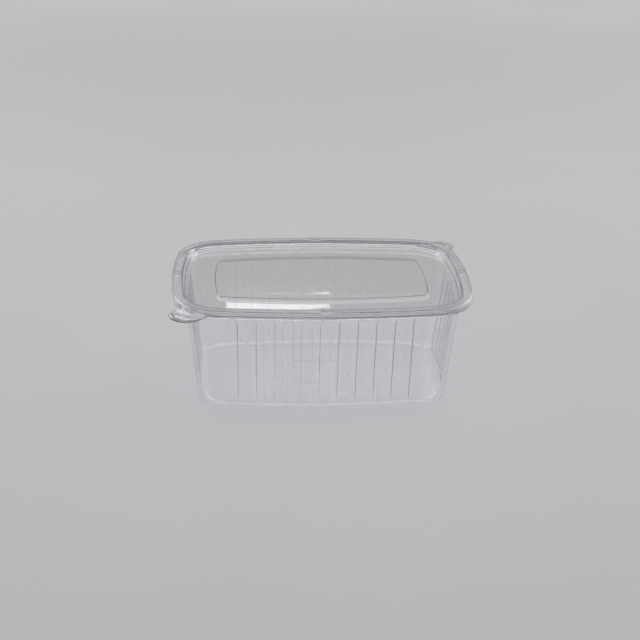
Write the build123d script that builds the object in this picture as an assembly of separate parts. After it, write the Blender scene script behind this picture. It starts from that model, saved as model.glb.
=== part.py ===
from build123d import *
from math import atan, atan2, degrees, hypot, radians, sin, sqrt, tan
import os

os.makedirs("parts", exist_ok=True)

# All sizes are in millimetres. The tray stands on z = 0 with its middle at the origin.
# X runs along the length, Y to the back, Z up. An inset is measured inward from the rim's outline.

# Overall
length = 190.0              # over the lid's rim, end to end
width = 134.0               # over the lid's rim, front to back
height = 72.0               # table to the top of the lid's stacking pads
sheet = 0.4                 # thickness of the clear sheet
fit_gap = 0.4               # room between the lid and the tray where they nest
round_steps = 2             # short flats that make up each rounded edge of a section

# Outline of the lid's rim, seen from above: four bowed sides and round corners
rim_corner = 31.0           # radius of the corners
long_bow = 570.0            # radius of the bow in the front and back sides
short_bow = 294.0           # radius of the bow in the two end sides

# Lid rim, seen in section
pad_rise = 0.5              # height of the stacking pads over the rim
skirt_height = 4.3          # depth of the outer skirt
rim_flat = 6.9              # width of the rim's top, skirt to plug
rim_edge = 1.0              # radius along the rim's outer edge
plug_upper = 3.1            # rim's top down to the ledge in the plug wall
plug_ledge = 1.4            # width of the sloped ledge
ledge_slope = 0.5           # how far the ledge falls across its width
plug_lean = 0.4             # how far the plug wall leans in under the ledge
plug_depth = 4.6            # rim's top down to the deck
band_reach = 11.0           # how far in from the rim the swept part of the lid goes

# Raised panel in the middle of the lid
panel_length = 134.8        # over the top of its riser
panel_width = 74.4
panel_riser = 1.8           # height of the riser round the panel
panel_riser_run = 0.8       # how far the riser leans in
panel_shoulder_x = 7.2      # width of the sloped shoulder at the two ends
panel_shoulder_y = 5.7      # width of the sloped shoulder at the front and back
panel_crown = 0.7           # rise of the shoulder
panel_corner = 5.0          # corner radius over the top of the riser
crown_corner = 3.5          # corner radius inside the shoulder
panel_long_bow = 390.0
panel_short_bow = 230.0

# Stacking pads in the middle of each side of the rim
pad_length = 7.5
pad_width = 4.2

# Tabs at two opposite corners
tab_radius = 10.8           # radius of the tab's round end
tab_reach = 13.8            # how far the tab stands out from the rim's corner
tab_angle = 49.3            # way that the tab points, in degrees from the length
tab_root = 3.0              # radius where the tab runs into the rim
tray_tab_margin = 0.8       # how far the tray's tab stays inside the lid's tab
grip_length = 11.0          # raised slot that the finger holds
grip_width = 4.8
grip_rise = 0.8
grip_outward = 3.6          # how far the grip sits outward of the tab's middle
side_taper = 30.0           # lean of the sides of pads, grips and the floor's rectangle, in degrees

# Tray, seen in section
foot_inset = 14.8           # rim outline to the wall's line where it meets the table
foot_radius = 3.2           # rounding between the wall and the ring that the tray stands on
seat_step = 1.8             # how far the neck stands out over the wall
seat_rise = 0.9             # height of the slope that carries the step
neck_height = 5.0           # flange down to the top of the wall

# Raised floor inside the ring that the tray stands on
floor_length = 150.4
floor_width = 92.0
floor_corner = 14.0
floor_long_bow = 550.0
floor_short_bow = 240.0
floor_lift = 0.8
label_length = 38.0         # plain raised rectangle in the floor
label_width = 36.0
label_lift = 0.5

# Flutes pressed into the wall
long_flutes = 11
short_flutes = 5
flute_pitch_top = 11.65     # spacing at the top of the wall
flute_pitch_foot = 11.45    # spacing on the table's level
flute_width = 7.0           # across the mouth of the flute
flute_depth = 2.2
flute_ramp = 0.55           # how much each edge narrows for every millimetre of depth
flute_low = 3.8             # height of the flute's lower end
flute_high = 65.0           # height of the flute's upper end

# Heights, insets and outlines that follow from the sizes above
rim_top = height - pad_rise
flange_top = rim_top - sheet
deck_top = rim_top - plug_depth
skirt_foot = rim_top - skirt_height
lip_inset = max(rim_edge, sheet + fit_gap / 2) + fit_gap / 2
neck_inset = rim_flat - fit_gap - sheet * 2
wall_inset = neck_inset + seat_step
wall_top = flange_top - neck_height
ring_inset = foot_inset + foot_radius
rim_sizes = (length / 2, width / 2, rim_corner, long_bow, short_bow)
floor_sizes = (floor_length / 2, floor_width / 2, floor_corner, floor_long_bow, floor_short_bow)
panel_sizes = (panel_length / 2, panel_width / 2, panel_corner, panel_long_bow, panel_short_bow)


def drawn_in(sizes, inset):
    """An outline's sizes after it is drawn in by an even amount all round."""
    return tuple(size - inset for size in sizes)


def corner_points(half_x, half_y, corner, bow_y, bow_x):
    """Centre of the corner arc in the first quarter, and where it meets the long and the short side."""
    long_centre = Vector(0, half_y - bow_y)
    short_centre = Vector(half_x - bow_x, 0)
    long_reach = bow_y - corner
    short_reach = bow_x - corner
    between = short_centre - long_centre
    along = (long_reach ** 2 - short_reach ** 2 + between.length ** 2) / (2 * between.length)
    across = sqrt(long_reach ** 2 - along ** 2)
    unit = between.normalized()
    centre = long_centre + unit * along + Vector(unit.Y, -unit.X) * across
    on_long = long_centre + (centre - long_centre) * (bow_y / long_reach)
    on_short = short_centre + (centre - short_centre) * (bow_x / short_reach)
    return centre, on_long, on_short


def bowed_face(sizes, z=0):
    """Flat face with four bowed sides and four round corners, centred on the Z axis."""
    half_x, half_y, corner = sizes[:3]
    centre, on_long, on_short = corner_points(*sizes)
    middle = centre + (on_long + on_short - centre * 2).normalized() * corner
    edges = []
    for side in (1, -1):
        right = (on_long.X * side, on_long.Y * side)
        left = (-on_long.X * side, on_long.Y * side)
        high = (-on_short.X * side, on_short.Y * side)
        low = (-on_short.X * side, -on_short.Y * side)
        last = (-on_long.X * side, -on_long.Y * side)
        edges.append(ThreePointArc(right, (0, half_y * side), left))
        edges.append(ThreePointArc(left, (-middle.X * side, middle.Y * side), high))
        edges.append(ThreePointArc(high, (-half_x * side, 0), low))
        edges.append(ThreePointArc(low, (-middle.X * side, -middle.Y * side), last))
    return Pos(0, 0, z) * make_face(edges)


def bowed_block(sizes, z, rise, run):
    """Block on a bowed outline whose sides lean in by run over their height."""
    return Pos(0, 0, z) * extrude(bowed_face(sizes), rise, taper=degrees(atan(run / rise)))


def rounded_points(points, radii):
    """Points along a path whose inner corners are rounded in short flats."""
    outline = [points[0]]
    for before, corner, after, radius in zip(points, points[1:], points[2:], radii):
        if radius == 0:
            outline.append(corner)
            continue
        back = (before - corner).normalized()
        ahead = (after - corner).normalized()
        half = radians(back.get_angle(ahead)) / 2
        centre = corner + (back + ahead).normalized() * (radius / sin(half))
        start = corner + back * (radius / tan(half)) - centre
        turn = 180 - degrees(half) * 2
        step = turn / round_steps if ahead.cross(back).Z > 0 else -turn / round_steps
        for number in range(round_steps + 1):
            outline.append(centre + start.rotate(Axis.Z, step * number))
    outline.append(points[-1])
    return outline


def sheet_section(path, radii):
    """Section through the sheet: a path along one face, and the other face one thickness to its left."""
    points = [Vector(*point) for point in path]
    runs = [(end - start).normalized() for start, end in zip(points, points[1:])]
    sides = [Vector(-run.Y, run.X) * sheet for run in runs]
    shifted = [points[0] + sides[0]]
    shifted_radii = []
    for point, before, after, radius in zip(points[1:], sides, sides[1:], radii):
        shifted.append(point + (before + after) * (sheet ** 2 / (sheet ** 2 + before.dot(after))))
        change = -sheet if before.cross(after).Z > 0 else sheet
        shifted_radii.append(radius + change if radius > 0 else 0)
    shifted.append(points[-1] + sides[-1])
    near = rounded_points(points, radii)
    far = rounded_points(shifted, shifted_radii)
    return make_face(Polyline(*near, *reversed(far), close=True))


def swept_round(sizes, section):
    """Carry a section round a bowed outline. Its x = 0 lies on the outline and +x points outward."""
    half_x, half_y, corner, bow_y, bow_x = sizes
    centre, on_long, on_short = corner_points(*sizes)
    tilt = degrees(atan2(on_long.X, on_long.Y - (half_y - bow_y)))
    swing = degrees(atan2(on_short.Y, on_short.X - (half_x - bow_x)))
    arcs = (
        (Vector(0, half_y - bow_y), bow_y, 90 - tilt, tilt * 2),
        (Vector(half_x - bow_x, 0), bow_x, -swing, swing * 2),
        (centre, corner, swing, 90 - tilt - swing),
        (Vector(-centre.X, centre.Y), corner, 90 + tilt, 90 - tilt - swing),
    )
    pieces = []
    for middle, radius, start, sweep in arcs:
        outward = Vector(1, 0).rotate(Axis.Z, start)
        plane = Plane(middle + outward * radius, x_dir=outward, z_dir=Vector(outward.Y, -outward.X))
        piece = revolve(plane * section, Axis(middle, (0, 0, 1)), sweep)
        pieces.append(piece)
        pieces.append(Rot(0, 0, 180) * piece)
    return pieces[0] + pieces[1:]


def tray_shell():
    """Foot, wall, neck, flange and turned-down lip of the tray, carried round the rim's outline."""
    lip = lip_inset + sheet
    under = flange_top - sheet
    path = [
        (-ring_inset, 0),
        (-foot_inset, 0),
        (-wall_inset, wall_top),
        (-neck_inset, wall_top + seat_rise),
        (-neck_inset, under),
        (-lip, under),
        (-lip, skirt_foot - sheet),
    ]
    return swept_round(rim_sizes, sheet_section(path, [foot_radius, 0, 0, 0, 0]))


def tray_floor():
    """Flat ring that the tray stands on, and the raised floor with its plain rectangle."""
    plate = extrude(bowed_face(drawn_in(rim_sizes, ring_inset)), sheet)
    top = floor_lift + sheet
    plate += bowed_block(drawn_in(floor_sizes, -sheet * sqrt(2)), 0, top, top)
    plate -= bowed_block(floor_sizes, 0, floor_lift, floor_lift)
    label = extrude(Rectangle(label_length, label_width), label_lift, taper=side_taper)
    inner = Rectangle(label_length - sheet, label_width - sheet)
    hollow = extrude(inner, label_lift, taper=side_taper)
    return plate + Pos(0, 0, top) * label - Pos(0, 0, floor_lift) * hollow


def flute_block(start, end, grow):
    """Tapered block for one flute, between two depths from the wall's face. grow widens it all round."""
    spread = grow - start * flute_ramp
    mouth = Rectangle(flute_width + spread * 2, flute_high - flute_low + spread * 2)
    return Pos(0, 0, start) * extrude(mouth, end - start, taper=degrees(atan(flute_ramp)))


def flute_spots(count, half, bow, facing):
    """Planes on the wall's outer face that look inward, one in the middle of each flute of one side."""
    outward = Vector(1, 0).rotate(Axis.Z, facing)
    along = Vector(0, 1).rotate(Axis.Z, facing)
    middle_share = (flute_low + flute_high) / 2 / wall_top
    spots = []
    for number in range(count):
        step = number - (count - 1) / 2
        at_foot = step * flute_pitch_foot
        at_top = step * flute_pitch_top
        low = along * at_foot + outward * (half - bow + sqrt((bow - foot_inset) ** 2 - at_foot ** 2))
        high = along * at_top + outward * (half - bow + sqrt((bow - wall_inset) ** 2 - at_top ** 2))
        high += Vector(0, 0, wall_top)
        up = (high - low).normalized()
        tangent = (along - outward * (at_top / bow)).normalized()
        inward = up.cross(tangent).normalized()
        spots.append(Plane(low + (high - low) * middle_share, x_dir=up.cross(inward), z_dir=inward))
    return spots


def all_flutes(start, end, grow):
    """One block for each flute of the four sides."""
    block = flute_block(start, end, grow)
    spots = []
    for facing in (90, 270):
        spots += flute_spots(long_flutes, width / 2, long_bow, facing)
    for facing in (0, 180):
        spots += flute_spots(short_flutes, length / 2, short_bow, facing)
    return [spot * block for spot in spots]


def tab_middle():
    """Middle of the back right tab's round end, and the way that the tab points."""
    centre = corner_points(*rim_sizes)[0]
    lean = Vector(1, 0).rotate(Axis.Z, tab_angle)
    return centre + lean * (rim_corner + tab_reach - tab_radius), lean


def tabs(z, margin, root):
    """Flat tabs at the front left and back right corners, one sheet thick and rooted inside the rim."""
    spot = tab_middle()[0]
    radius = tab_radius - margin
    shape = bowed_face(rim_sizes)
    near = Sketch()
    for side in (1, -1):
        place = Pos(spot.X * side, spot.Y * side)
        shape += place * Circle(radius)
        near += place * Circle(radius + tab_root)
    roots = []
    for vertex in shape.vertices():
        reach = hypot(abs(vertex.X) - spot.X, abs(vertex.Y) - spot.Y)
        if vertex.X * vertex.Y > 0 and abs(reach - radius) < 0.01:
            roots.append(vertex)
    shape = (fillet(roots, tab_root) & near) - bowed_face(drawn_in(rim_sizes, root))
    return Pos(0, 0, z) * extrude(shape, sheet)


def grips(shrink, rise):
    """Raised slots for the finger on the two tabs."""
    spot, lean = tab_middle()
    place = spot + lean * grip_outward
    angle = degrees(atan2(lean.Y, lean.X)) + 90
    slot = Rot(0, 0, angle) * SlotOverall(grip_length - shrink * 2, grip_width - shrink * 2)
    bump = extrude(slot, rise, taper=side_taper)
    return [Pos(place.X * side, place.Y * side, skirt_foot) * bump for side in (1, -1)]


def make_tray():
    """The tray: one sheet, pressed outward in at the flutes and lifted in the middle of the floor."""
    beyond = 1.0
    grow = sheet * sqrt(1 + flute_ramp ** 2)
    tray = tray_shell() + all_flutes(sheet / 2, flute_depth + sheet, grow)
    tray = tray - all_flutes(-beyond, flute_depth, 0)
    return tray + tray_floor() + tabs(skirt_foot - sheet, tray_tab_margin, lip_inset + sheet / 2)


def panel_solid(inset, drop):
    """The lid's raised panel as a solid, drawn in and lowered for its hollow side."""
    shoulder = drawn_in(panel_sizes, inset)
    half_x, half_y, _, bow_y, bow_x = shoulder
    crown = (half_x - panel_shoulder_x, half_y - panel_shoulder_y, crown_corner, bow_y, bow_x)
    low = deck_top - drop
    middle = low + panel_riser
    riser = bowed_block(drawn_in(shoulder, -panel_riser_run), low, panel_riser, panel_riser_run)
    slope = loft([bowed_face(shoulder, middle), bowed_face(crown, middle + panel_crown)], ruled=True)
    return riser + slope


def pads(shrink, low, high):
    """Blocks for the stacking pads in the middle of the four sides of the rim."""
    base = Rectangle(pad_length - shrink * 2, pad_width - shrink * 2)
    block = Pos(0, 0, low) * extrude(base, high - low, taper=side_taper)
    out_x = length / 2 - rim_flat / 2
    out_y = width / 2 - rim_flat / 2
    places = ((out_x, 0, 90), (-out_x, 0, 90), (0, out_y, 0), (0, -out_y, 0))
    return [Pos(x, y, 0) * Rot(0, 0, turn) * block for x, y, turn in places]


def lid_rim():
    """Skirt, rim, plug wall and the outer part of the deck."""
    ledge_top = rim_top - plug_upper
    ledge_end = rim_flat + plug_ledge
    path = [
        (0, skirt_foot),
        (0, rim_top),
        (-rim_flat, rim_top),
        (-rim_flat, ledge_top),
        (-ledge_end, ledge_top - ledge_slope),
        (-ledge_end - plug_lean, deck_top),
        (-band_reach, deck_top),
    ]
    return swept_round(rim_sizes, sheet_section(path, [rim_edge, 0, 0, 0, 0]))


def make_lid():
    """The lid: one sheet, with the rim that caps the tray and the sunken deck with its raised panel."""
    deck = extrude(bowed_face(drawn_in(rim_sizes, band_reach), deck_top - sheet), sheet)
    lid = lid_rim() + deck + panel_solid(0, 0) + tabs(skirt_foot, 0, sheet / 2)
    lid = lid + pads(0, rim_top, height) + grips(0, sheet + grip_rise)
    lid = lid - panel_solid(sheet, sheet)
    lid = lid - pads(sheet, flange_top, height - sheet) - grips(sheet, grip_rise)
    return lid


tray = make_tray()
tray.label = "tray"
export_step(tray, "parts/tray.step")

lid = make_lid()
lid.label = "lid"
export_step(lid, "parts/lid.step")
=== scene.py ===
from math import atan2, cos, hypot, pi, radians, sin, sqrt, tan

import bmesh
import bpy
import numpy as np
from mathutils import Matrix, Vector


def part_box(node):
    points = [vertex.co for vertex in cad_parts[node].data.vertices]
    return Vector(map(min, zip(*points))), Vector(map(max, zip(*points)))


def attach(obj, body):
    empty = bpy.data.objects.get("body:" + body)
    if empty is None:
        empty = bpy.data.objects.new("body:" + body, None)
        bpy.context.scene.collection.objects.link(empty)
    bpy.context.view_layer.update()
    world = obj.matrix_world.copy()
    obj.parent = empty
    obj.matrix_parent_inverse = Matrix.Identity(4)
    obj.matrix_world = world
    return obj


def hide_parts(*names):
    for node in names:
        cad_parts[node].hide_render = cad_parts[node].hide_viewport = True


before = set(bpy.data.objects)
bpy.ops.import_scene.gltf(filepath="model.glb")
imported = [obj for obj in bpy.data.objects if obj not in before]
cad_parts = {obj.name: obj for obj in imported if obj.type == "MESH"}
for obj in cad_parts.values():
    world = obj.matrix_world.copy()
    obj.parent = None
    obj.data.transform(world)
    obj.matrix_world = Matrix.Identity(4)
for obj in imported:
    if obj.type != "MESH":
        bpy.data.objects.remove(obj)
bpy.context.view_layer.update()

# Sizes are in millimetres and become metres where a mesh or an object is made.
# Insets are measured inward from the outline of the lid's rim, seen from above.
# An outline is its half length, half width, corner radius, and the radii of its bowed long and short sides.
# A section path lists distances outward from an outline with heights. Its radii round its inner corners.
MM = 0.001
lid_low, lid_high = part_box("lid")
length = (lid_high[0] - lid_low[0]) / MM
height = lid_high[2] / MM
width = 134.0
sheet = 0.4
nest_gap = 0.05             # visual room where the lid rests on the tray
nested_bounces = 28         # a ray through lid and tray crosses many faces before it leaves

# Outline of the rim
rim_corner = 31.0
rim = (length / 2, width / 2, rim_corner, 570.0, 294.0)

# Mesh lines along the outline
mark_margin = 0.3           # clear of the ends of a side
share_margin = 0.02         # clear of a tab's own marks
corner_steps = 20
tab_corner_steps = 14       # the coarse steps of a corner that carries a tab
side_reach = 96
side_step = 3

# Stacking pads on the lid's rim
pad_size = (7.5, 4.2)
pad_corner = 0.9
pad_rise = 0.5
pad_ease = 0.5
pad_ease_start = 0.05
pad_steps = (-0.9, -0.6, -0.4, -0.2, 0.0, 0.3)  # mesh lines, outward from the pad's end
pad_insets = (1.5, 1.7, 1.9, 2.2, 3.45, 4.7, 5.0, 5.2, 5.4, 5.6, 5.9)

# Lid
rim_top = height - pad_rise
skirt_depth = 4.3
skirt_foot = rim_top - skirt_depth
skirt_turn = 0.6            # the skirt starts this far above its foot
rim_bend = 1.0
rim_bend_end = 1.3
rim_flat_end = 6.0
rim_flat = 6.9              # inset of the rim's inner edge
ledge_drop = 3.1
ledge_width = 1.4
ledge_fall = 0.5
plug_width = 1.8            # from the rim's inner edge to the deck
plug_radii = (0.6, 0.4, 0.35, 0.4)
deck_drop = 4.6
deck_top = rim_top - deck_drop
deck_inset = 11.5

# Raised panel of the lid
panel = (67.4, 37.2, 5.0, 390.0, 230.0)
panel_margin = 1.2
panel_riser = 1.8
panel_riser_run = 0.8
panel_riser_radii = (0.6, 0.5)
shoulder_inset = 0.9
shoulder_rise = 0.1
crown = (60.2, 31.5, 3.5, 390.0, 230.0)
panel_crown = 0.7
crown_shares = (0.3, 0.6, 0.92)                 # rings from the shoulder to the crown
crown_turn = ((0.0, 0.012), (0.4, 0.0), (0.8, 0.0))  # inset and drop of each ring at the crown's edge

# Tabs at two opposite corners, seen from the centre of the rim's corner arc
tab_corners = {1: 0.0, 5: pi}  # outline arc of each corner, and its turn from the back right one
tab_radius = 10.8
tab_out = 34.0              # corner centre to the middle of the tab's round end
tab_root = 3.0
tab_angle = 49.3
tab_sweep = 24.5            # degrees to each side that get fine mesh lines
tab_edge = radians(0.6)     # turn over which a tab's edge fades into the piece
clear_of_tab = 3.0          # swing of the columns with no tab
tray_tab_margin = 0.8
grip_out = 37.6             # corner centre to the middle of the grip
grip_size = (11.0, 4.8)
grip_rise = 0.8
grip_ease = 0.9
grip_ease_start = 0.1

# Tray
flange_top = rim_top - sheet - nest_gap
tray_lip = 1.6
neck_inset = 5.7
neck_depth = 5.0
neck_turn = 0.9             # the neck ends this far above the wall's top
wall_inset = 7.5
wall_top = rim_top - sheet - neck_depth
wall_lead = 0.8
tray_top_radii = (0.3, 0.3, 0.6, 0.4)
foot_inset = 14.8
foot_lead = 3.3             # height where the foot's bend starts on the wall
foot_radius = 3.2
floor_outline = (75.2, 46.0, 14.0, 550.0, 240.0)
floor_lift = 0.8
floor_margin = 0.9
floor_reach = 3.0
floor_radii = (0.7, 0.7)
label = (19.0, 18.0, 3.0, 9000.0, 9000.0)
label_lift = 0.5
label_run = 0.35
label_margin = 1.6
label_radii = (0.5, 0.3)

# Flutes
long_flutes = 11
short_flutes = 5
flute_pitch = 11.65
flute_width = 7.0
flute_depth = 2.2
flute_low = 3.8
flute_high = 65.0
flute_end_radius = 2.6
flute_slope = radians(61.2)  # lean of the flute's sides from the wall
flute_bend = 0.75            # radius where the sides meet the wall and the flute's bottom
flute_end_ease = 0.5         # the two ends slope this much more gently than the sides
flute_steps = (-0.44, -0.22, 0.0, 0.22, 0.99, 1.21, 1.43, 1.65)  # mesh lines, inward from the mouth
flute_end_steps = (0.45, 0.7, 1.9, 2.6)                          # more of them at the two ends
flute_end_lead = -0.28

# Looks
clear_tint = (0.993, 0.996, 1.0)
tint_depth = 0.99           # the darker end of the tint's clouds
shadow_tint = (0.93, 0.94, 0.95, 1)
# Where the sheet turns away from the view its transmission falls and its white base shows: partly real haze
# of the sheet, partly a painted sheen that stands in for reflections at grazing angles.
tray_haze_and_sheen = 0.3
lid_haze_and_sheen = 0.08
haze_and_sheen_start = 0.3            # share of turning away where the haze and painted sheen start
floor_dark = (0.515, 0.52, 0.53, 1)
floor_light = (0.53, 0.535, 0.545, 1)
even_near = 0.6             # share of the floor's brightness that doesn't come from the lamps
even_far = 1.0
even_from = 0.4
even_to = 1.3
stage_reach = 30.0
stage_level = -0.0001
lamp_aim = (0, 0, 0.04)

# The photograph's camera, as fitted to it
picture = 640
sensor = 36


def smooth(value):
    """Ease from 0 to 1 with flat ends."""
    value = np.clip(value, 0.0, 1.0)
    return value * value * (3 - 2 * value)


def flute_profile(inward):
    """Depth of a flute at a distance inward from its mouth: two round bends, a straight side between."""
    ramp = flute_depth / tan(flute_slope)
    lead = flute_bend * tan(flute_slope / 2)
    arc = flute_bend * sin(flute_slope)
    from_wall = np.clip(inward + lead, 0, arc)
    from_bottom = np.clip(ramp + lead - inward, 0, arc)
    upper = flute_bend - np.sqrt(flute_bend ** 2 - from_wall ** 2)
    lower = flute_depth - flute_bend + np.sqrt(flute_bend ** 2 - from_bottom ** 2)
    side = inward * tan(flute_slope)
    depth = np.where(inward + lead < arc, upper, side)
    return np.where(ramp + lead - inward < arc, lower, depth)


def rounded_box(x, y, half_x, half_y, radius):
    """Distance from a rounded rectangle's edge, negative inside it."""
    over_x = np.abs(x) - half_x + radius
    over_y = np.abs(y) - half_y + radius
    outside = np.hypot(np.maximum(over_x, 0), np.maximum(over_y, 0))
    return outside + np.minimum(np.maximum(over_x, over_y), 0) - radius


def arcs_of(sizes):
    """The eight arcs of a bowed outline, anticlockwise from the right: centre, radius, start and sweep."""
    half_x, half_y, corner, bow_y, bow_x = sizes
    long_centre = np.array((0.0, half_y - bow_y))
    short_centre = np.array((half_x - bow_x, 0.0))
    between = short_centre - long_centre
    distance = hypot(*between)
    along = ((bow_y - corner) ** 2 - (bow_x - corner) ** 2 + distance ** 2) / (2 * distance)
    across = sqrt((bow_y - corner) ** 2 - along ** 2)
    unit = between / distance
    centre = long_centre + unit * along + np.array((unit[1], -unit[0])) * across
    swing = atan2(centre[1] - short_centre[1], centre[0] - short_centre[0])
    tilt = atan2(centre[0] - long_centre[0], centre[1] - long_centre[1])
    turn = pi / 2 - tilt - swing
    x, y = centre
    return (
        (short_centre, bow_x, -swing, swing * 2),
        (np.array((x, y)), corner, swing, turn),
        (long_centre, bow_y, pi / 2 - tilt, tilt * 2),
        (np.array((-x, y)), corner, pi / 2 + tilt, turn),
        (-short_centre, bow_x, pi - swing, swing * 2),
        (np.array((-x, -y)), corner, pi + swing, turn),
        (-long_centre, bow_y, pi * 1.5 - tilt, tilt * 2),
        (np.array((x, -y)), corner, pi * 1.5 + tilt, turn),
    )


class Columns:
    """The places along the outline that a piece's mesh lines pass through."""

    def __init__(self, side_marks, corner_marks):
        """side_marks gives distances from a side's middle, and corner_marks shares of a corner's turn."""
        self.arc = []
        self.share = []
        rim_arcs = arcs_of(rim)
        for number, (_, radius, _, sweep) in enumerate(rim_arcs):
            if number % 2:
                marks = corner_marks(number)
            else:
                half = sweep / 2
                reach = half * radius - mark_margin
                inner = [mark / radius for mark in side_marks(number) if abs(mark) < reach]
                marks = [0.5 + angle / sweep for angle in [-half] + inner + [half]]
            for mark in marks[:-1]:
                self.arc.append(number)
                self.share.append(mark)
        self.arc = np.array(self.arc)
        self.share = np.array(self.share)
        self.count = len(self.arc)
        start = np.array([rim_arcs[a][2] for a in self.arc])
        sweep = np.array([rim_arcs[a][3] for a in self.arc])
        radius = np.array([rim_arcs[a][1] for a in self.arc])
        self.angle = start + sweep * self.share
        self.from_middle = (self.angle - (start + sweep / 2)) * radius

    def on(self, sizes):
        """Points of the columns on an outline, and the way outward at each."""
        arcs = arcs_of(sizes)
        points = np.empty((self.count, 2))
        outward = np.empty((self.count, 2))
        for i, (a, share) in enumerate(zip(self.arc, self.share)):
            centre, radius, start, sweep = arcs[a]
            angle = start + sweep * share
            outward[i] = (cos(angle), sin(angle))
            points[i] = centre + outward[i] * radius
        return points, outward


def rounded_path(points, radii, steps=5):
    """Points along a path whose inner corners are rounded."""
    points = [np.array(point, float) for point in points]
    result = [points[0]]
    for before, corner, after, radius in zip(points, points[1:], points[2:], radii):
        back = (before - corner) / hypot(*(before - corner))
        ahead = (after - corner) / hypot(*(after - corner))
        half = np.arccos(np.clip(back @ ahead, -1, 1)) / 2
        reach = radius / tan(half)
        centre = corner + (back + ahead) / hypot(*(back + ahead)) * (radius / sin(half))
        start = corner + back * reach - centre
        turn = pi - half * 2
        if ahead[0] * back[1] - ahead[1] * back[0] < 0:
            turn = -turn
        for number in range(steps + 1):
            angle = turn * number / steps
            c = cos(angle)
            s = sin(angle)
            spot = np.array((start[0] * c - start[1] * s, start[0] * s + start[1] * c))
            result.append(centre + spot)
    result.append(points[-1])
    return result


def row(columns, sizes, offset, z):
    """One ring of points: an outline moved outward by offset, at height z. Both may differ by column."""
    points, outward = columns.on(sizes)
    offset = np.broadcast_to(offset, columns.count)[:, None]
    heights = np.broadcast_to(z, columns.count)[:, None]
    return np.hstack((points + outward * offset, heights))


def between_rows(first, second, share):
    """The ring that lies a share of the way from one ring to another."""
    return first * (1 - share) + second * share


def sheet_piece(name, rows, node, inside):
    """Closed sheet whose one face runs through the rows. The last row is closed by a flat middle."""
    mesh = bpy.data.meshes.new(name)
    work = bmesh.new()
    grid = [[work.verts.new(Vector(point) * MM) for point in ring] for ring in rows]
    count = len(grid[0])
    for lower, upper in zip(grid, grid[1:]):
        for i in range(count):
            j = (i + 1) % count
            work.faces.new((lower[i], lower[j], upper[j], upper[i]))
    work.faces.new(grid[-1])
    bmesh.ops.remove_doubles(work, verts=work.verts, dist=0.00001)
    bmesh.ops.recalc_face_normals(work, faces=work.faces)
    flat = max(work.faces, key=lambda face: len(face.verts))
    faces_up = flat.normal.z > 0
    if faces_up == inside:
        bmesh.ops.reverse_faces(work, faces=work.faces)
    work.to_mesh(mesh)
    work.free()
    piece = bpy.data.objects.new(name, mesh)
    bpy.context.scene.collection.objects.link(piece)
    solid = piece.modifiers.new("sheet", "SOLIDIFY")
    solid.thickness = sheet * MM
    solid.offset = -1
    for face in mesh.polygons:
        face.use_smooth = True
    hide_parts(node)
    return piece


def tab_outline(angle, base, radius):
    """Reach of a tab beyond the base circle, along rays from the corner's centre. It is 0 off the tab."""
    angle = np.abs(angle)
    root_out = base + tab_root
    side = radius + tab_root
    root_angle = np.arccos((root_out ** 2 + tab_out ** 2 - side ** 2) / (2 * root_out * tab_out))
    root_spot = root_out * np.array((cos(root_angle), sin(root_angle)))
    end = np.array((tab_out, 0.0))
    meet = end + (root_spot - end) * (radius / side)
    meet_angle = atan2(meet[1], meet[0])
    aside = tab_out * np.sin(angle)
    on_tab = tab_out * np.cos(angle) + np.sqrt(np.maximum(radius ** 2 - aside ** 2, 0))
    swing = root_angle - angle
    aside = root_out * np.sin(swing)
    on_root = root_out * np.cos(swing) - np.sqrt(np.maximum(tab_root ** 2 - aside ** 2, 0))
    reach = np.where(angle < meet_angle, on_tab, on_root)
    return np.where(angle < root_angle, reach - base, 0.0), root_angle


def tab_marks(number, base, radius, step):
    """Shares of a corner's turn, step degrees apart where a tab's outline bends."""
    _, _, start, sweep = arcs_of(rim)[number]
    if number not in tab_corners:
        return list(np.linspace(0, 1, corner_steps + 1))
    middle = radians(tab_angle) + tab_corners[number] - start
    _, root_angle = tab_outline(np.zeros(1), base, radius)
    ends = list(np.linspace(0, 1, tab_corner_steps + 1))
    degrees = np.arange(-tab_sweep, tab_sweep + 0.1, step)
    fine = [(middle + radians(degree)) / sweep for degree in degrees]
    low = fine[0] - share_margin
    high = fine[-1] + share_margin
    marks = [mark for mark in ends if mark < low or mark > high]
    return sorted(marks + fine + [(middle - root_angle) / sweep, (middle + root_angle) / sweep])


def tab_swing(columns):
    """Angle of each column from the middle of its corner's tab, and clear_of_tab where there is none."""
    swing = np.full(columns.count, clear_of_tab)
    for number, turn in tab_corners.items():
        here = columns.arc == number
        swing[here] = columns.angle[here] - radians(tab_angle) - turn
    return swing


def tab_rows(columns, inset, z, foot, radius, steps, bump):
    """Rings from a tab's rim in to the turned edge that carries it."""
    base = rim_corner - inset
    swing = tab_swing(columns)
    reach, root_angle = tab_outline(swing, base, radius)
    carried = smooth((root_angle + tab_edge - np.abs(swing)) / tab_edge)
    rings = []
    for share in np.linspace(1, 0, steps):
        out = base + reach * share
        raised = z + bump(out * np.cos(swing), out * np.sin(swing)) * (swing < clear_of_tab)
        rings.append(row(columns, rim, -inset + reach * share, foot + (raised - foot) * carried))
    return rings


def grip(out, aside):
    """Height of the raised slot on the lid's tab."""
    edge = rounded_box(out - grip_out, aside, grip_size[1] / 2, grip_size[0] / 2, grip_size[1] / 2)
    return grip_rise * smooth((-edge + grip_ease_start) / grip_ease)


def no_bump(out, aside):
    """The tray's tabs are plain."""
    return out * 0


def flute_marks(number):
    """Distances from a side's middle that follow its flutes."""
    count = short_flutes if number in (0, 4) else long_flutes
    marks = []
    for flute in range(count):
        middle = (flute - (count - 1) / 2) * flute_pitch
        marks += [middle - flute_width / 2 + step for step in flute_steps]
        marks += [middle + flute_width / 2 - step for step in reversed(flute_steps)]
    return marks


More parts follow.
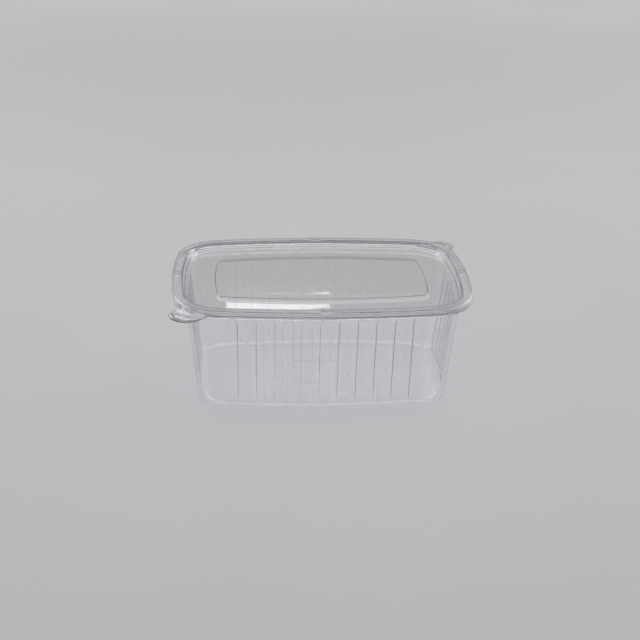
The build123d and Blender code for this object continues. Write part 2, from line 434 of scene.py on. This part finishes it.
def flute_press(columns, z):
    """How far the flutes push the wall in at a height, for each column."""
    press = np.zeros(columns.count)
    for sides, count in (((0, 4), short_flutes), ((2, 6), long_flutes)):
        here = np.isin(columns.arc, sides)
        step = columns.from_middle / flute_pitch + (count - 1) / 2
        nearest = np.clip(np.round(step), 0, count - 1)
        across = (step - nearest) * flute_pitch
        along = (z - (flute_low + flute_high) / 2) * flute_end_ease
        half = (flute_high - flute_low) / 2 * flute_end_ease
        edge = rounded_box(across, along, flute_width / 2, half, flute_end_radius)
        press = np.where(here, flute_profile(-edge), press)
    return press


def wall_heights():
    """Heights of the wall's rings, close together at the ends of the flutes."""
    inward = sorted(flute_steps[2:] + flute_end_steps)
    steps = [flute_end_lead] + [step / flute_end_ease for step in inward]
    low = [flute_low + step for step in steps]
    high = [flute_high - step for step in reversed(steps)]
    middle = (flute_low + flute_high) / 2
    return low + [middle] + high


def make_tray():
    """Tray, from the tabs and lip down over the neck and wall to the floor."""
    radius = tab_radius - tray_tab_margin
    columns = Columns(flute_marks, lambda number: tab_marks(number, rim_corner - tray_lip, radius, 1.0))
    tab_low = skirt_foot - sheet - nest_gap
    rows = tab_rows(columns, tray_lip, tab_low, tab_low, radius, 5, no_bump)
    under = flange_top - sheet
    lean = (foot_inset - wall_inset) / wall_top
    top = [
        (-tray_lip, tab_low),
        (-tray_lip, under),
        (-neck_inset, under),
        (-neck_inset, wall_top + neck_turn),
        (-wall_inset, wall_top),
        (-wall_inset - lean * wall_lead, wall_top - wall_lead),
    ]
    for offset, z in rounded_path(top, tray_top_radii, steps=3)[1:]:
        rows.append(row(columns, rim, offset, z))
    for z in reversed(wall_heights()):
        offset = -foot_inset + lean * z
        rows.append(row(columns, rim, offset - flute_press(columns, z), z))
    foot = [
        (-foot_inset + lean * foot_lead, foot_lead),
        (-foot_inset, 0),
        (-foot_inset - foot_radius, 0),
    ]
    for offset, z in rounded_path(foot, [foot_radius], steps=6)[1:]:
        rows.append(row(columns, rim, offset, z))
    floor = [(floor_margin, 0), (0, 0), (-floor_lift, floor_lift), (-floor_reach, floor_lift)]
    for offset, z in rounded_path(floor, floor_radii, steps=3):
        rows.append(row(columns, floor_outline, offset, z))
    lifted = floor_lift + label_lift
    mark = [(label_margin, floor_lift), (0, floor_lift), (-label_run, lifted), (-label_margin, lifted)]
    for offset, z in rounded_path(mark, label_radii, steps=2):
        rows.append(row(columns, label, offset, z))
    return sheet_piece("tray_sheet", rows, "tray", inside=True)


def pad_bump(columns, inset):
    """Height of the stacking pads over the rim, for each column."""
    here = columns.arc % 2 == 0
    across = inset - rim_flat / 2
    edge = rounded_box(columns.from_middle, across, pad_size[0] / 2, pad_size[1] / 2, pad_corner)
    return np.where(here, pad_rise * smooth((-edge + pad_ease_start) / pad_ease), 0.0)


def lid_marks(number):
    """Distances from any side's middle, close together at its stacking pad."""
    half = pad_size[0] / 2
    pad = [half + step for step in pad_steps]
    near = [-step for step in reversed(pad)] + [0.0] + pad
    far = [step for step in range(-side_reach, side_reach + 1, side_step) if abs(step) > half + 1]
    return sorted(near + far)


def make_lid():
    """Lid, from the tabs up the skirt, over the rim and in to the deck's raised panel."""
    columns = Columns(lid_marks, lambda number: tab_marks(number, rim_corner, tab_radius, 0.5))
    rows = tab_rows(columns, 0, skirt_foot + sheet, skirt_foot, tab_radius, 30, grip)
    band = [
        (0, skirt_foot + skirt_turn),
        (0, rim_top),
        (-rim_bend_end, rim_top),
    ]
    for offset, z in rounded_path(band, [rim_bend], steps=7):
        rows.append(row(columns, rim, offset, z))
    for inset in pad_insets:
        rows.append(row(columns, rim, -inset, rim_top + pad_bump(columns, inset)))
    ledge_top = rim_top - ledge_drop
    plug = [
        (-rim_flat_end, rim_top),
        (-rim_flat, rim_top),
        (-rim_flat, ledge_top),
        (-rim_flat - ledge_width, ledge_top - ledge_fall),
        (-rim_flat - plug_width, deck_top),
        (-deck_inset, deck_top),
    ]
    for offset, z in rounded_path(plug, plug_radii):
        rows.append(row(columns, rim, offset, z))
    riser_top = deck_top + panel_riser
    riser = [
        (panel_riser_run + panel_margin, deck_top),
        (panel_riser_run, deck_top),
        (0, riser_top),
        (-shoulder_inset, riser_top + shoulder_rise),
    ]
    for offset, z in rounded_path(riser, panel_riser_radii):
        rows.append(row(columns, panel, offset, z))
    shoulder = row(columns, panel, -shoulder_inset, riser_top + shoulder_rise)
    inside = row(columns, crown, 0, riser_top + panel_crown)
    for share in crown_shares:
        rows.append(between_rows(shoulder, inside, share))
    for inset, drop in crown_turn:
        rows.append(row(columns, crown, -inset, riser_top + panel_crown - drop))
    return sheet_piece("lid_sheet", rows, "lid", inside=False)


def add_node(tree, kind, **values):
    """New shader node with its plain settings."""
    made = tree.nodes.new(kind)
    for name, value in values.items():
        setattr(made, name, value)
    return made


def noise(tree, place, scale, detail):
    """Noise between 0 and 1 over the piece's own coordinates."""
    made = add_node(tree, "ShaderNodeTexNoise")
    made.inputs["Scale"].default_value = scale
    made.inputs["Detail"].default_value = detail
    tree.links.new(place, made.inputs["Vector"])
    return made.outputs["Fac"]


def ranged(tree, value, low, high):
    """The value's range from 0 to 1, spread from low to high."""
    made = add_node(tree, "ShaderNodeMapRange")
    made.inputs["To Min"].default_value = low
    made.inputs["To Max"].default_value = high
    tree.links.new(value, made.inputs["Value"])
    return made.outputs["Result"]


def clear_plastic(name, haze_and_sheen):
    """Clear formed sheet: faint draw ripples, a little tint, and a haze that grows where it turns away,
    partly real haze and partly a painted sheen.
    """
    material = bpy.data.materials.new(name)
    material.use_nodes = True
    tree = material.node_tree
    shader = tree.nodes["Principled BSDF"]
    shader.inputs["IOR"].default_value = 1.57
    shader.inputs["Specular IOR Level"].default_value = 0.55
    # Transmission falls where the sheet turns away: partly real haze, partly a painted sheen at grazing
    # angles.
    facing = add_node(tree, "ShaderNodeLayerWeight").outputs["Facing"]
    clear = ranged(tree, facing, low=1.0, high=1.0 - haze_and_sheen)
    clear.node.inputs["From Min"].default_value = haze_and_sheen_start
    tree.links.new(clear, shader.inputs["Transmission Weight"])
    place = add_node(tree, "ShaderNodeTexCoord").outputs["Object"]
    cloud = noise(tree, place, scale=45.0, detail=3.0)
    colour = add_node(tree, "ShaderNodeMix", data_type="RGBA")
    colour.inputs["A"].default_value = (*[part * tint_depth for part in clear_tint], 1)
    colour.inputs["B"].default_value = (*clear_tint, 1)
    tree.links.new(cloud, colour.inputs["Factor"])
    tree.links.new(colour.outputs["Result"], shader.inputs["Base Color"])
    grain = noise(tree, place, scale=90.0, detail=4.0)
    tree.links.new(ranged(tree, grain, low=0.015, high=0.06), shader.inputs["Roughness"])
    ripple = add_node(tree, "ShaderNodeBump")
    ripple.inputs["Strength"].default_value = 0.05
    ripple.inputs["Distance"].default_value = 0.0006
    tree.links.new(noise(tree, place, scale=70.0, detail=2.0), ripple.inputs["Height"])
    tree.links.new(ripple.outputs["Normal"], shader.inputs["Normal"])
    lamps = add_node(tree, "ShaderNodeBsdfTransparent")
    lamps.inputs["Color"].default_value = shadow_tint
    path = add_node(tree, "ShaderNodeLightPath")
    mix = add_node(tree, "ShaderNodeMixShader")
    tree.links.new(path.outputs["Is Shadow Ray"], mix.inputs["Fac"])
    tree.links.new(shader.outputs["BSDF"], mix.inputs[1])
    tree.links.new(lamps.outputs["BSDF"], mix.inputs[2])
    tree.links.new(mix.outputs["Shader"], tree.nodes["Material Output"].inputs["Surface"])
    return material


def dress(piece, material, body):
    """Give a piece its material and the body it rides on."""
    piece.data.materials.append(material)
    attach(piece, body)


def pale_stage():
    """Wide matt floor in one pale grey. Far from the container it shows no falling off of the lamps."""
    material = bpy.data.materials.new("pale_stage")
    material.use_nodes = True
    tree = material.node_tree
    place = add_node(tree, "ShaderNodeTexCoord").outputs["Object"]
    colour = add_node(tree, "ShaderNodeMix", data_type="RGBA")
    colour.inputs["A"].default_value = floor_dark
    colour.inputs["B"].default_value = floor_light
    tree.links.new(noise(tree, place, scale=6.0, detail=2.0), colour.inputs["Factor"])
    lit = add_node(tree, "ShaderNodeBsdfDiffuse")
    even = add_node(tree, "ShaderNodeEmission")
    tree.links.new(colour.outputs["Result"], lit.inputs["Color"])
    tree.links.new(colour.outputs["Result"], even.inputs["Color"])
    path = add_node(tree, "ShaderNodeLightPath")
    seen = path.outputs["Is Camera Ray"]
    for kind in ("Is Glossy Ray", "Is Transmission Ray"):
        added = add_node(tree, "ShaderNodeMath", operation="ADD", use_clamp=True)
        tree.links.new(seen, added.inputs[0])
        tree.links.new(path.outputs[kind], added.inputs[1])
        seen = added.outputs[0]
    away = add_node(tree, "ShaderNodeVectorMath", operation="LENGTH")
    tree.links.new(place, away.inputs[0])
    share = ranged(tree, away.outputs["Value"], low=even_near, high=even_far)
    share.node.inputs["From Min"].default_value = even_from
    share.node.inputs["From Max"].default_value = even_to
    amount = add_node(tree, "ShaderNodeMath", operation="MULTIPLY")
    tree.links.new(seen, amount.inputs[0])
    tree.links.new(share, amount.inputs[1])
    base = add_node(tree, "ShaderNodeMixShader")
    tree.links.new(amount.outputs[0], base.inputs["Fac"])
    tree.links.new(lit.outputs["BSDF"], base.inputs[1])
    tree.links.new(even.outputs["Emission"], base.inputs[2])
    tree.nodes.remove(tree.nodes["Principled BSDF"])
    tree.links.new(base.outputs["Shader"], tree.nodes["Material Output"].inputs["Surface"])
    ends = ((-1, -1), (1, -1), (1, 1), (-1, 1))
    corners = [(stage_reach * x, stage_reach * y, stage_level) for x, y in ends]
    mesh = bpy.data.meshes.new("stage")
    mesh.from_pydata(corners, [], [(0, 1, 2, 3)])
    stage = bpy.data.objects.new("stage", mesh)
    stage.data.materials.append(material)
    bpy.context.scene.collection.objects.link(stage)


def soft_box(name, place, size, power):
    """Area lamp that looks at the container."""
    lamp = bpy.data.lights.new(name, "AREA")
    lamp.shape = "RECTANGLE"
    lamp.size, lamp.size_y = size
    lamp.energy = power
    item = bpy.data.objects.new(name, lamp)
    item.location = place
    item.rotation_mode = "QUATERNION"
    item.rotation_quaternion = (Vector(place) - Vector(lamp_aim)).to_track_quat("Z", "Y")
    item.visible_camera = False
    bpy.context.scene.collection.objects.link(item)


def light():
    """Tall boxes behind at each side, a wide one overhead and a strip behind, over a plain grey world."""
    soft_box("left_box", place=(-0.76, 0.57, 0.50), size=(0.80, 0.90), power=3.2)
    soft_box("right_box", place=(0.76, 0.57, 0.50), size=(0.80, 0.90), power=3.2)
    soft_box("top_box", place=(0.0, 0.15, 1.00), size=(1.40, 1.20), power=8.2)
    soft_box("back_strip", place=(-0.0174, 0.25, 0.1894), size=(0.088, 0.008), power=0.0042)
    world = bpy.data.worlds.new("world")
    world.use_nodes = True
    back = world.node_tree.nodes["Background"]
    back.inputs["Color"].default_value = (0.97, 0.985, 1.0, 1)
    back.inputs["Strength"].default_value = 0.18
    bpy.context.scene.world = world


def camera():
    """The photograph's view. Focal length and centre are in pixels of the photograph."""
    azimuth, elevation, roll = radians(-4.015), radians(23.28), radians(1.145)
    distance = 897.0
    focal = 1377.1
    centre_x, centre_y = 318.86, 319.98
    target = Vector((-0.48, 0, 38.57))
    back = Vector((sin(azimuth) * cos(elevation), -cos(azimuth) * cos(elevation), sin(elevation)))
    level = Vector((cos(azimuth), sin(azimuth), 0))
    rise = back.cross(level)
    right = level * cos(roll) + rise * sin(roll)
    up = rise * cos(roll) - level * sin(roll)
    data = bpy.data.cameras.new("camera")
    data.sensor_width = sensor
    data.lens = focal * sensor / picture
    data.shift_x = (picture / 2 - centre_x) / picture
    data.shift_y = (centre_y - picture / 2) / picture
    data.clip_start = 0.05
    data.clip_end = 20
    item = bpy.data.objects.new("camera", data)
    turn = Matrix((right, up, back)).transposed()
    item.matrix_world = Matrix.Translation((target + back * distance) * MM) @ turn.to_4x4()
    bpy.context.scene.collection.objects.link(item)
    bpy.context.scene.camera = item


bpy.context.scene.view_settings.view_transform = "Standard"
bpy.context.scene.cycles.max_bounces = nested_bounces
bpy.context.scene.cycles.transmission_bounces = nested_bounces
dress(make_tray(), clear_plastic("clear_tray", tray_haze_and_sheen), "tray")
dress(make_lid(), clear_plastic("clear_lid", lid_haze_and_sheen), "lid")
pale_stage()
light()
camera()
